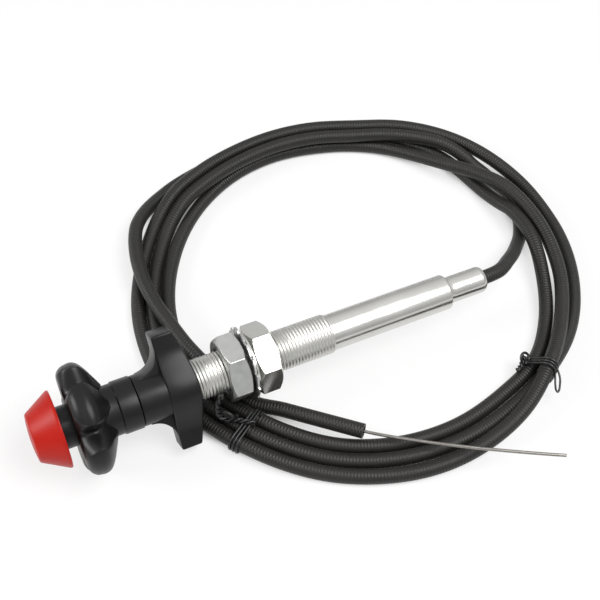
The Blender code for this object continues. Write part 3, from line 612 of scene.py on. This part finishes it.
shade.inputs["Specular IOR Level"].default_value = 0.2
tree.links.new(red.outputs[2], shade.inputs["Base Color"])
tree.links.new(gloss.outputs[0], shade.inputs["Roughness"])
tree.links.new(pores.outputs[0], shade.inputs["Normal"])

cup_end = BOSS_FRONT - 4.0
show("red_release_button", turned("red_release_button", filleted([
    (BUTTON_FRONT, 0, 0), (BUTTON_FRONT + 0.25, 6.0, 2.0), (BUTTON_FRONT + 0.9, BUTTON_FACE, 0.7),
    (BUTTON_BASE - 0.9, BUTTON_RIM, 0.5), (BUTTON_BASE, BUTTON_RIM - 0.1, 0.3),
    (BUTTON_BASE, BUTTON_RIM - 2.0, 0.3), (BUTTON_BASE - 3.0, BUTTON_RIM - 3.6, 0.4),
    (BUTTON_BASE - 3.0, NECK_HOLE + 1.6, 0.3), (BUTTON_BASE, NECK_HOLE + 1.6, 0.3),
    (BUTTON_BASE, NECK_HOLE, 0.3), (cup_end, NECK_HOLE, 0.2), (cup_end, 2.2, 0),
    (cup_end - 1.6, 2.2, 0), (cup_end - 1.6, 0, 0)])), red_abs, "button", "button_red",
    "release_button")


# Inner works: ground shaft, stem, stop ring, spring, brass insert, collet and coupling, nylon
# bush and the wire in the head. Little of them shows until the knob is pulled out.

# Ground steel: bright grey with fine rings from the grinding wheel.
ground, tree, shade = start_material("ground_steel")
where = add_node(tree, "ShaderNodeTexCoord", {})
lines = add_node(tree, "ShaderNodeMapping", {"Vector": where.outputs["Object"],
                                             "Scale": (1 / 0.0004, 60.0, 60.0)})
marks = add_node(tree, "ShaderNodeTexNoise", {"Vector": lines.outputs[0], "Scale": 1.0,
                                              "Detail": 4.0})
sheen = add_node(tree, "ShaderNodeMapRange", {"Value": marks.outputs["Fac"], "To Min": 0.2,
                                              "To Max": 0.36})
steel = add_node(tree, "ShaderNodeMix", {"Factor": marks.outputs["Fac"], "A": hex_colour("#a3a29e"),
                                         "B": hex_colour("#bab9b5")}, data_type="RGBA")
shade.inputs["Metallic"].default_value = 1.0
tree.links.new(steel.outputs[2], shade.inputs["Base Color"])
tree.links.new(sheen.outputs[0], shade.inputs["Roughness"])

# Turned brass: yellow metal with the lathe's rings and a little dulling.
brass, tree, shade = start_material("turned_brass")
where = add_node(tree, "ShaderNodeTexCoord", {})
lines = add_node(tree, "ShaderNodeMapping", {"Vector": where.outputs["Object"],
                                             "Scale": (1 / 0.0005, 50.0, 50.0)})
marks = add_node(tree, "ShaderNodeTexNoise", {"Vector": lines.outputs[0], "Scale": 1.0})
yellow = add_node(tree, "ShaderNodeMix", {"Factor": marks.outputs["Fac"],
                                          "A": hex_colour("#b08a45"),
                                          "B": hex_colour("#cda75c")}, data_type="RGBA")
sheen = add_node(tree, "ShaderNodeMapRange", {"Value": marks.outputs["Fac"], "To Min": 0.25,
                                              "To Max": 0.4})
shade.inputs["Metallic"].default_value = 1.0
tree.links.new(yellow.outputs[2], shade.inputs["Base Color"])
tree.links.new(sheen.outputs[0], shade.inputs["Roughness"])

# Natural nylon: milky white and waxy.
milky, tree, shade = start_material("natural_nylon")
where = add_node(tree, "ShaderNodeTexCoord", {})
cloud = add_node(tree, "ShaderNodeTexNoise", {"Vector": where.outputs["Object"],
                                              "Scale": 1 / 0.006, "Detail": 3.0})
white = add_node(tree, "ShaderNodeMix", {"Factor": cloud.outputs["Fac"], "A": hex_colour("#d9d6c8"),
                                         "B": hex_colour("#e8e5d9")}, data_type="RGBA")
shade.inputs["Roughness"].default_value = 0.5
tree.links.new(white.outputs[2], shade.inputs["Base Color"])


def tube_along(name, line, radius, around, bore=None):
    """Round tube along a line in millimetres, with its length in metres as texture u. A bore
    (radius, depth) is sunk in its far end."""
    ahead = np.gradient(line, axis=0)
    ahead /= np.linalg.norm(ahead, axis=1)[:, None]
    shape = bmesh.new()
    layer = shape.loops.layers.uv.new("length")
    along_mm = np.concatenate([[0.0], np.cumsum(np.linalg.norm(np.diff(line, axis=0), axis=1))])
    up = np.array([0.0, 0.0, 1.0]) if abs(ahead[0][2]) < 0.9 else np.array([0.0, 1.0, 0.0])
    loops = []
    for p, d in zip(line, ahead):
        side = np.cross(up, d)
        side /= np.linalg.norm(side)
        up = np.cross(d, side)
        loops.append([shape.verts.new((p + radius * (cos(t) * side + sin(t) * up)) * MM)
                      for t in (2 * pi * k / around for k in range(around))])
    for k in range(len(loops) - 1):
        for j in range(around):
            n = (j + 1) % around
            face = shape.faces.new((loops[k][j], loops[k][n], loops[k + 1][n], loops[k + 1][j]))
            for corner, s, v in zip(face.loops, (k, k, k + 1, k + 1), (j, j + 1, j + 1, j)):
                corner[layer].uv = (along_mm[s] * MM, v / around)
    shape.faces.new(loops[0])
    if bore is None:
        shape.faces.new(loops[-1])
    else:
        rim = loops[-1]
        for r, back in ((bore[0], 0.0), (bore[0], bore[1])):
            centre = line[-1] - ahead[-1] * back
            ring = [shape.verts.new((centre + r * (cos(t) * side + sin(t) * up)) * MM)
                    for t in (2 * pi * k / around for k in range(around))]
            skin(shape, [rim, ring])
            rim = ring
        shape.faces.new(rim)
    return to_mesh(name, shape, 50)


SPRING_SEAT = BOSS_FRONT + POCKET_DEEP
SPRING_LONG = SPRING_SEAT - cup_end
SPRING_MID = 4.3
SPRING_WIRE = 0.45
SPRING_TURNS = 6
SPRING_END = 0.75
STEPS_PER_TURN = 24
spring_line = []
for k in range(SPRING_TURNS * STEPS_PER_TURN + 1):
    a = 2 * pi * k / STEPS_PER_TURN
    advance = (SPRING_LONG - 2 * SPRING_END) * k / (SPRING_TURNS * STEPS_PER_TURN)
    spring_line.append((SPRING_SEAT - SPRING_END - advance, SPRING_MID * cos(a),
                        AXIS + SPRING_MID * sin(a)))
spring_mesh = tube_along("button_return_spring", np.array(spring_line), SPRING_WIRE, 8)
spring = show("button_return_spring", spring_mesh, ground, "knob", "spring_steel", "button_spring")
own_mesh(spring)
for node, finish in (("control_shaft", ground), ("button_stem", ground), ("stop_ring", ground),
                     ("core_wire_head", ground), ("knob_insert", brass),
                     ("friction_collet", brass), ("wire_coupling", brass), ("shaft_bush", milky)):
    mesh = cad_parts[node].data
    mesh.materials.clear()
    mesh.materials.append(finish)


# Conduit: a steel-wound casing in a black PVC sheath, 6.7 mm over its ribs, cut square at its
# far end. It leaves the ferrule, dips under its own turns and lies in a loose ring of three
# and a half turns under the head, held by two wire ties.
SHEATH = 3.35
CORE_HOLE = 2.35
HOLE_DEEP = 47.0
RING_X = 62.9
RING_Y = 35.4
RING_LONG = 100.4
RING_SHORT = 94.5
RING_TURN = radians(48.7)
LANE = 7.0
LAYER = 7.1
REST = 0.1
# Each turn: angle, lane out from the ring's middle line, layer above the table.
TURNS = (
    [(22, .05, .1), (24.5, .04, .15), (30, -.02, .6), (36, -.15, .95), (47, -.6, 1.03),
     (56, -1, 1.04), (65, -1.3, 1.02), (80, -1.13, 1), (90, -.96, 1), (105, -.67, 1),
     (119, -.23, .92), (128, .2, .72), (135, .36, .38), (143, .38, .08), (150, .38, 0),
     (176, .53, 0), (196, .45, 0), (206, .15, .1), (215, .03, .23), (240, -.15, 0),
     (270, -.15, 0), (290, .05, .1), (303, .42, .23), (320, 1, 0), (340, 1.35, 0)],
    [(0, 1.5, 0), (13, 1.45, .25), (35, .95, .75), (50, .32, .97), (65, -.27, 1), (80, -.1, 1),
     (90, .07, 1), (105, .37, 1), (119, .8, 1), (128, 1.2, .8), (135, 1.36, .4),
     (143, 1.38, .1), (150, 1.38, 0), (176, 1.53, 0), (196, 1.44, 0), (206, 1.14, .1),
     (215, 1.03, .23), (240, .87, 0), (270, .9, .2), (288, .8, .85), (303, .4, 1.23),
     (320, .22, .85), (340, .15, .85)],
    [(0, -.3, 1.3), (12, -.8, 1.5), (22, -1.35, 1.2), (35, -1.85, .75), (45, -1.7, .35),
     (55, -1.42, .1), (65, -1.28, 0), (75, -1.19, 0), (96, -.78, 0), (108, -.64, 0),
     (120, -.6, 0), (150, -.61, 0), (173, -.49, 0), (196, -.55, 0), (206, -.84, .1),
     (215, -.98, .23), (240, -1.16, 0), (270, -1.16, 0), (290, -.98, .1), (303, -.6, .23),
     (319, -.65, .1), (337, -.93, .55), (350, -1.1, 1.1)],
    [(-2, -1.2, 1.05), (4, -1.33, .9), (10, -1.47, .52), (17, -1.42, .2), (24, -1.18, .06),
     (30, -.88, .02), (38, -.5, 0), (47, -.36, 0), (60, -.28, 0), (75, -.16, 0), (90, .25, 0),
     (100, .6, 0), (110, 1.1, 0), (119, 1.68, 0), (128, 2.24, 0), (135, 2.46, .33),
     (142, 2.4, .75), (150, 1.9, 1), (157, 1.35, 1.05), (163, .85, 1.05), (170, .25, 1.03),
     (178, -.38, 1.03), (184, -.7, 1), (190, -1.02, .9), (195, -1.28, .7), (200, -1.56, .44),
     (204, -1.78, .3)])
LEAD = [(116.0, 1.6, 22.4), (127.0, 8.6, 17.0), (141.5, 20.5, 7.6), (151.5, 31.0, 3.1),
        (157.3, 42.5, 3.1), (160.2, 53.5, 3.1)]
TAIL_START = np.array((-10.3, -9.8, 4.7))
TAIL_LONG = 48.3
heading = radians(-44.0)
climb = radians(5.5)
tail_way = np.array([cos(heading) * cos(climb), sin(heading) * cos(climb), sin(climb)])
route = np.array([(360.0 * n + a, lane, layer) for n, turn in enumerate(TURNS)
                  for a, lane, layer in turn])


def on_route(degrees):
    """Middle line of the coiled conduit, in millimetres."""
    lane_layer = bend_through(route[:, 0], route[:, 1:], degrees)
    a = np.radians(degrees)
    r = RING_LONG * RING_SHORT / np.sqrt((RING_SHORT * np.cos(a - RING_TURN)) ** 2
                                         + (RING_LONG * np.sin(a - RING_TURN)) ** 2)
    r = r + lane_layer[:, 0] * LANE
    return np.stack([RING_X + r * np.cos(a), RING_Y + r * np.sin(a),
                     CONDUIT + REST + np.maximum(lane_layer[:, 1], 0) * LAYER], axis=1)


mouth = np.array([FERRULE_REAR - GRIP, 0.0, AXIS])
stations = [mouth, mouth + [6, 0, 0], mouth + [13, 0, 0]] + [np.array(p) for p in LEAD]
stations += list(on_route(np.linspace(route[0, 0], route[-1, 0], 330)))
stations += [TAIL_START - tail_way * 4.0]
stations += [TAIL_START + tail_way * TAIL_LONG * k / 4 for k in range(1, 5)]
stations = np.array(stations)
chord = np.concatenate([[0.0], np.cumsum(np.linalg.norm(np.diff(stations, axis=0), axis=1))])
conduit_line = bend_through(chord, stations, np.arange(0.0, chord[-1] + 1e-6, 1.0))
conduit_line[-1] = stations[-1]
conduit_line[:, 2] = np.maximum(conduit_line[:, 2], CONDUIT + REST)

# Black PVC sheath: dark grey under soft light, with the windings of the casing showing as fine
# ribs; 1.1 mm apart on the real one, drawn at 1.4 mm so that they show.
sheath, tree, shade = start_material("black_pvc_sheath")
where = add_node(tree, "ShaderNodeTexCoord", {})
length = add_node(tree, "ShaderNodeSeparateXYZ", {"Vector": where.outputs["UV"]})
turns = add_node(tree, "ShaderNodeMath", {0: length.outputs["X"], 1: 2 * pi / 0.0014},
                 operation="MULTIPLY")
rib = add_node(tree, "ShaderNodeMath", {0: turns.outputs[0]}, operation="SINE")
dust = add_node(tree, "ShaderNodeTexNoise", {"Vector": where.outputs["Object"],
                                             "Scale": 1 / 0.015, "Detail": 5.0})
black = add_node(tree, "ShaderNodeMix", {"Factor": dust.outputs["Fac"], "A": hex_colour("#161514"),
                                         "B": hex_colour("#23211f")}, data_type="RGBA")
satin = add_node(tree, "ShaderNodeMapRange", {"Value": dust.outputs["Fac"], "From Min": 0.3,
                                              "From Max": 0.7, "To Min": 0.4, "To Max": 0.52})
ribs = add_node(tree, "ShaderNodeBump", {"Height": rib.outputs[0], "Strength": 0.7,
                                         "Distance": 0.0001})
shade.inputs["Specular IOR Level"].default_value = 0.36
shade.inputs["Sheen Weight"].default_value = 0.06
shade.inputs["Sheen Roughness"].default_value = 0.35
tree.links.new(black.outputs[2], shade.inputs["Base Color"])
tree.links.new(satin.outputs[0], shade.inputs["Roughness"])
tree.links.new(ribs.outputs[0], shade.inputs["Normal"])


conduit_mesh = tube_along("coiled_conduit", conduit_line, SHEATH, 18, (CORE_HOLE, HOLE_DEEP))
conduit = show("coiled_conduit", conduit_mesh, sheath, "frame", "conduit_black", "conduit_lead",
               "conduit_coil", "conduit_tail")


# Core wire: solid drawn steel, 1.4 mm, that the knob pushes and pulls. Its bare end stands out
# of the cut conduit with the slight set that the coil has given it.

# Drawn steel: grey, bright in places and duller in others, in blotches about 3 mm long.
drawn_steel, tree, shade = start_material("drawn_steel_wire")
where = add_node(tree, "ShaderNodeTexCoord", {})
blotch = add_node(tree, "ShaderNodeTexNoise", {"Vector": where.outputs["Object"],
                                               "Scale": 1 / 0.003, "Detail": 3.0})
grey = add_node(tree, "ShaderNodeMix", {"Factor": blotch.outputs["Fac"], "A": hex_colour("#7d7a75"),
                                        "B": hex_colour("#a09d98")}, data_type="RGBA")
sheen = add_node(tree, "ShaderNodeMapRange", {"Value": blotch.outputs["Fac"], "To Min": 0.22,
                                              "To Max": 0.38})
shade.inputs["Metallic"].default_value = 1.0
tree.links.new(grey.outputs[2], shade.inputs["Base Color"])
tree.links.new(sheen.outputs[0], shade.inputs["Roughness"])

WIRE_OUT = 85.0
WIRE_SET = 14.2
cut_end = TAIL_START + tail_way * TAIL_LONG
set_side = np.array([-sin(heading), cos(heading), 0.0])
wire_line = []
for s in np.linspace(-3.0, WIRE_OUT - 1.5, 60):
    bow = WIRE_SET * (max(s, 0.0) / WIRE_OUT) ** 1.4
    wire_line.append(cut_end + tail_way * s + set_side * bow)
bare_wire = show("bare_core_wire", tube_along("bare_core_wire", np.array(wire_line), WIRE, 12),
                 drawn_steel, "wire_end", "wire_steel", "core_wire_tail")
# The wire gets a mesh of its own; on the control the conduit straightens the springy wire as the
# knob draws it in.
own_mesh(bare_wire)


# Ties: soft steel wire in black PVC, wrapped three times round the turns, with an eye bent in
# its end and the ends twisted together. One sits on the right of the ring, with a small loop
# of slack left over, and one close under the head, where its long twist stands up.

# Glossy black PVC: smooth and shiny, with a little unevenness, 2 mm across, from the bending.
tie_pvc, tree, shade = start_material("black_pvc_tie_wire")
where = add_node(tree, "ShaderNodeTexCoord", {})
uneven = add_node(tree, "ShaderNodeTexNoise", {"Vector": where.outputs["Object"],
                                               "Scale": 1 / 0.002, "Detail": 2.0})
black = add_node(tree, "ShaderNodeMix", {"Factor": uneven.outputs["Fac"],
                                         "A": hex_colour("#131313"),
                                         "B": hex_colour("#1f1f1f")}, data_type="RGBA")
gloss = add_node(tree, "ShaderNodeMapRange", {"Value": uneven.outputs["Fac"], "To Min": 0.26,
                                              "To Max": 0.4})
tree.links.new(black.outputs[2], shade.inputs["Base Color"])
tree.links.new(gloss.outputs[0], shade.inputs["Roughness"])
TIE = 0.6
STEPS_PER_BEND = 9


def tie_line(degrees, around):
    """Loop of tie wire round the named turns, met inner one first."""
    a = radians(degrees)
    out_way = np.array([cos(a), sin(a), 0.0])
    ring_way = np.array([-sin(a), cos(a), 0.0])
    foot = np.array([RING_X, RING_Y, 0.0])
    held = on_route(np.array([degrees + 360.0 * (n - 1) for n in around]))
    flat = [(float((h - foot) @ out_way), float(h[2])) for h in held]
    reach = SHEATH + TIE
    line = []
    for k, (u, v) in enumerate(flat):
        before = flat[k - 1]
        after = flat[(k + 1) % len(flat)]
        begin = atan2(v - before[1], u - before[0]) - pi / 2
        swing = (atan2(after[1] - v, after[0] - u) - pi / 2 - begin) % (2 * pi)
        for j in range(STEPS_PER_BEND):
            t = begin + swing * j / (STEPS_PER_BEND - 1)
            line.append(foot + out_way * (u + reach * cos(t))
                        + np.array([0, 0, v + reach * sin(t)]))
    return np.array(line), out_way, ring_way


def laps(degrees, around, times, creep):
    """Laps of tie wire that creep along the turns by a few degrees."""
    count = STEPS_PER_BEND * len(around)
    line = []
    for k in range(times * count + 1):
        line.append(tie_line(degrees - creep * k / (times * count), around)[0][k % count])
    return np.array(line)


def twisted_pair(middle, pitch):
    """One wire that runs out along a line and back, wound on itself."""
    ahead = np.gradient(middle, axis=0)
    ahead /= np.linalg.norm(ahead, axis=1)[:, None]
    far = np.concatenate([[0.0], np.cumsum(np.linalg.norm(np.diff(middle, axis=0), axis=1))])
    side = np.cross(ahead, [0.31, 0.12, 0.94])
    side /= np.linalg.norm(side, axis=1)[:, None]
    rise = np.cross(side, ahead)
    turn = 2 * pi * far / pitch
    swing = (TIE + 0.05) * (np.cos(turn)[:, None] * side + np.sin(turn)[:, None] * rise)
    return np.concatenate([middle + swing, (middle - swing)[::-1]])


def show_tie(name, line, radius, *nodes):
    """Show a bent length of tie wire, and keep it among the pieces on the conduit."""
    mesh = tube_along(name, np.array(line), radius, 8)
    show(name, mesh, tie_pvc, "frame", "tie_black", *nodes)


for name, degrees, around, node in (("right_wire_tie", 303.0, (3, 1, 2), "tie_right"),
                                    ("left_wire_tie", 215.0, (3, 2), "tie_left")):
    show_tie(name, laps(degrees + 0.4, around, 3, 2.6), TIE, node)

start, out_way, ring_way = tie_line(301.6, (3, 1, 2))
knot = start[0]
lean = -out_way * 0.7 + np.array([0.0, 0.0, 0.7])
across = np.cross(lean, ring_way)
EYE = 2.3
right_eye = []
for t in np.linspace(-0.5, 2.3 * pi, 40):
    right_eye.append(knot + lean * (2.2 - EYE * cos(t)) - ring_way * EYE * sin(t)
                     - across * 0.25 * t)
show_tie("right_tie_eye", right_eye, TIE)
stub = bend_through([0, 3, 6, 9],
                    [knot + lean * up + ring_way * on
                     for up, on in ((2.4, 1.0), (1.5, -1.6), (0.9, -4.4), (1.2, -7.2))],
                    np.linspace(0, 9, 28))
show_tie("right_tie_twist", twisted_pair(stub, 4.0), TIE)

# The slack: across and along its own lie, and up, from the outer side of the laps.
SLACK = ((-0.4, -2.6, 1.4), (-0.1, -0.8, 0.8), (0.0, 2.0, -0.4), (0.1, 5.4, -1.8), (0.4, 7.6, -2.4),
         (1.0, 8.3, -2.6), (1.6, 7.6, -2.4), (2.0, 5.4, -1.4), (1.7, 1.6, 0.6), (0.5, -1.8, 1.8))
outer_side = start[np.argmax(start @ out_way)]
slack_way = out_way * 0.5 - ring_way * 0.86
slack_side = out_way * 0.86 + ring_way * 0.5
slack = bend_through([0, 2, 5, 10, 13, 14.5, 16, 19, 24, 27],
                     [outer_side - ring_way * 1.0 + slack_side * a + slack_way * b
                      + np.array([0, 0, c]) for a, b, c in SLACK],
                     np.linspace(0, 27, 60))
slack[:, 2] = np.maximum(slack[:, 2], TIE + REST)
show_tie("right_tie_slack", slack, TIE * 0.8)

pigtail = bend_through([0, 7, 13, 18, 23, 28, 32],
                       [(-17.0, -21.5, 9.8), (-22.6, -17.2, 9.6), (-27.4, -14.4, 9.8),
                        (-29.8, -13.0, 12.6), (-30.2, -12.4, 17.4), (-29.4, -12.2, 22.2),
                        (-28.0, -12.6, 25.6)],
                       np.linspace(0, 32, 90))
show_tie("left_tie_twist", twisted_pair(pigtail, 5.6), TIE * 1.2)
left_eye = []
for t in np.linspace(0.0, 2.2 * pi, 40):
    left_eye.append((-27.4 + 2.6 * cos(t) + 0.3 * t, -14.6 - 2.4 * cos(t), 12.0 + 3.0 * sin(t)))
show_tie("left_tie_eye", left_eye, TIE)


# Studio: a white paper floor in a pale room, under two broad soft boxes, seen from the
# photograph's place.
floor_shape = bmesh.new()
bmesh.ops.create_grid(floor_shape, x_segments=1, y_segments=1, size=3.0)
floor_mesh = bpy.data.meshes.new("white_floor")
floor_shape.to_mesh(floor_mesh)
floor_shape.free()
floor = bpy.data.objects.new("white_floor", floor_mesh)
bpy.context.scene.collection.objects.link(floor)


def rays_to_backdrop(tree):
    """Share of the rays that see the backdrop itself: from the camera, or off gloss or glass."""
    ray = add_node(tree, "ShaderNodeLightPath", {})
    seen = add_node(tree, "ShaderNodeMath", {0: ray.outputs["Is Camera Ray"],
                                             1: ray.outputs["Is Glossy Ray"]}, operation="MAXIMUM")
    return add_node(tree, "ShaderNodeMath", {0: seen.outputs[0],
                                             1: ray.outputs["Is Transmission Ray"]},
                    operation="MAXIMUM")


# White paper: matt, keeps the shadow of the part, and is lit up a little for the camera. In the
# narrow gaps between the turns an ambient-occlusion mask takes that glow away, so they stay dark:
# painted shade.
paper = bpy.data.materials.new("white_paper_sweep")
paper.use_nodes = True
tree = paper.node_tree
tree.nodes.clear()
seen = rays_to_backdrop(tree)
matte = add_node(tree, "ShaderNodeBsdfDiffuse", {"Color": hex_colour("#f4f4f3")})
lit = add_node(tree, "ShaderNodeEmission", {"Color": (1, 1, 1, 1), "Strength": 1.0})
# Painted shade: the occlusion mask dims the floor's glow where the turns close over it.
open_sky = add_node(tree, "ShaderNodeAmbientOcclusion", {"Distance": 0.012})
glow_with_painted_gap_shade = add_node(tree, "ShaderNodeMapRange", {"Value": open_sky.outputs["AO"],
                                                   "From Min": 0.08, "From Max": 0.42,
                                                   "To Max": 0.72})
share = add_node(tree, "ShaderNodeMath", {0: seen.outputs[0], 1: glow_with_painted_gap_shade.outputs[0]},
                 operation="MULTIPLY")
both = add_node(tree, "ShaderNodeMixShader", {0: share.outputs[0], 1: matte.outputs[0],
                                              2: lit.outputs[0]})
add_node(tree, "ShaderNodeOutputMaterial", {"Surface": both.outputs[0]})
floor_mesh.materials.append(paper)

world = bpy.data.worlds.new("white_room")
bpy.context.scene.world = world
world.use_nodes = True
tree = world.node_tree
tree.nodes.clear()
seen = rays_to_backdrop(tree)
where = add_node(tree, "ShaderNodeTexCoord", {})
height = add_node(tree, "ShaderNodeSeparateXYZ", {"Vector": where.outputs["Generated"]})
sweep = add_node(tree, "ShaderNodeMapRange", {"Value": height.outputs["Z"], "From Min": 0.05,
                                              "From Max": 0.85})
pale = add_node(tree, "ShaderNodeMix", {"Factor": sweep.outputs[0], "A": hex_colour("#b4b5b7"),
                                        "B": (1, 1, 1, 1)}, data_type="RGBA")
room = add_node(tree, "ShaderNodeBackground", {"Color": hex_colour("#d5d6d8"), "Strength": 0.55})
backdrop = add_node(tree, "ShaderNodeBackground", {"Color": pale.outputs[2], "Strength": 1.0})
both = add_node(tree, "ShaderNodeMixShader", {0: seen.outputs[0], 1: room.outputs[0],
                                              2: backdrop.outputs[0]})
add_node(tree, "ShaderNodeOutputWorld", {"Surface": both.outputs[0]})


def soft_box(name, place, target, size, power):
    """A square soft box aimed at a point."""
    lamp = bpy.data.lights.new(name, "AREA")
    lamp.shape = "SQUARE"
    lamp.size = size
    lamp.energy = power
    holder = bpy.data.objects.new(name, lamp)
    bpy.context.scene.collection.objects.link(holder)
    holder.location = place
    holder.rotation_euler = (Vector(target) - Vector(place)).to_track_quat("-Z", "Y").to_euler()


soft_box("overhead_box", (0.33, -0.36, 0.95), (0.03, 0.0, 0.02), 0.62, 9.0)
soft_box("left_box", (-0.9, 0.25, 0.55), (0.0, 0.0, 0.02), 0.4, 6.0)

lens = bpy.data.cameras.new("photo_camera")
lens.sensor_width = 36.0
lens.sensor_fit = "HORIZONTAL"
lens.lens = 63.0
camera = bpy.data.objects.new("photo_camera", lens)
bpy.context.scene.collection.objects.link(camera)
right = Vector((0.90507, -0.42262, 0.04743))
down = Vector((-0.31067, -0.73322, -0.60487))
forward = Vector((0.29041, 0.53271, -0.79491))
turn = Matrix((right, -down, -forward)).transposed().to_4x4()
turn.translation = Vector((-112.897, -229.066, 397.506)) * MM
camera.matrix_world = turn
bpy.context.scene.camera = camera
bpy.context.scene.view_settings.view_transform = "Standard"
